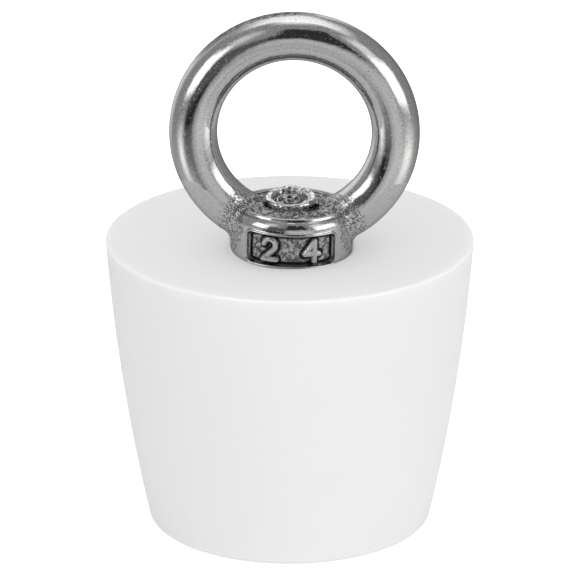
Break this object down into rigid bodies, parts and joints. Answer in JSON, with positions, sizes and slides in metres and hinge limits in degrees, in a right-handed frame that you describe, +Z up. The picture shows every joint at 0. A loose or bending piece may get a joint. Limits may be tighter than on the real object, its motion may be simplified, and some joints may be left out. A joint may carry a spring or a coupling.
{
  "type": "tapered rubber plug",
  "caption": "Tapered rubber plug with a cast eye screwed down on its wide end. It closes a round drain or filler hole and is pulled out by the eye.",
  "frame": {"origin": "centre of the plug's small end, on the surface that it stands on", "axes": "+Z up along the plug's axis, from the small end to the eye; the eye lies in the XZ plane, and its marked panel faces -Y"},
  "size_m": [0.036, 0.036, 0.052],
  "materials": {
    "plug_rubber": "milky white moulded rubber, satin",
    "cast_steel": "polished stainless casting, pitted where the polishing wheel didn't reach",
    "screw_steel": "bright rolled stainless",
    "washer_steel": "punched stainless sheet"
  },
  "bodies": {
    "root": {"tapered_plug": "plug_rubber", "eye_nut": "cast_steel", "button_head_screw": "screw_steel", "wide_washer": "washer_steel"}
  },
  "joints": []
}
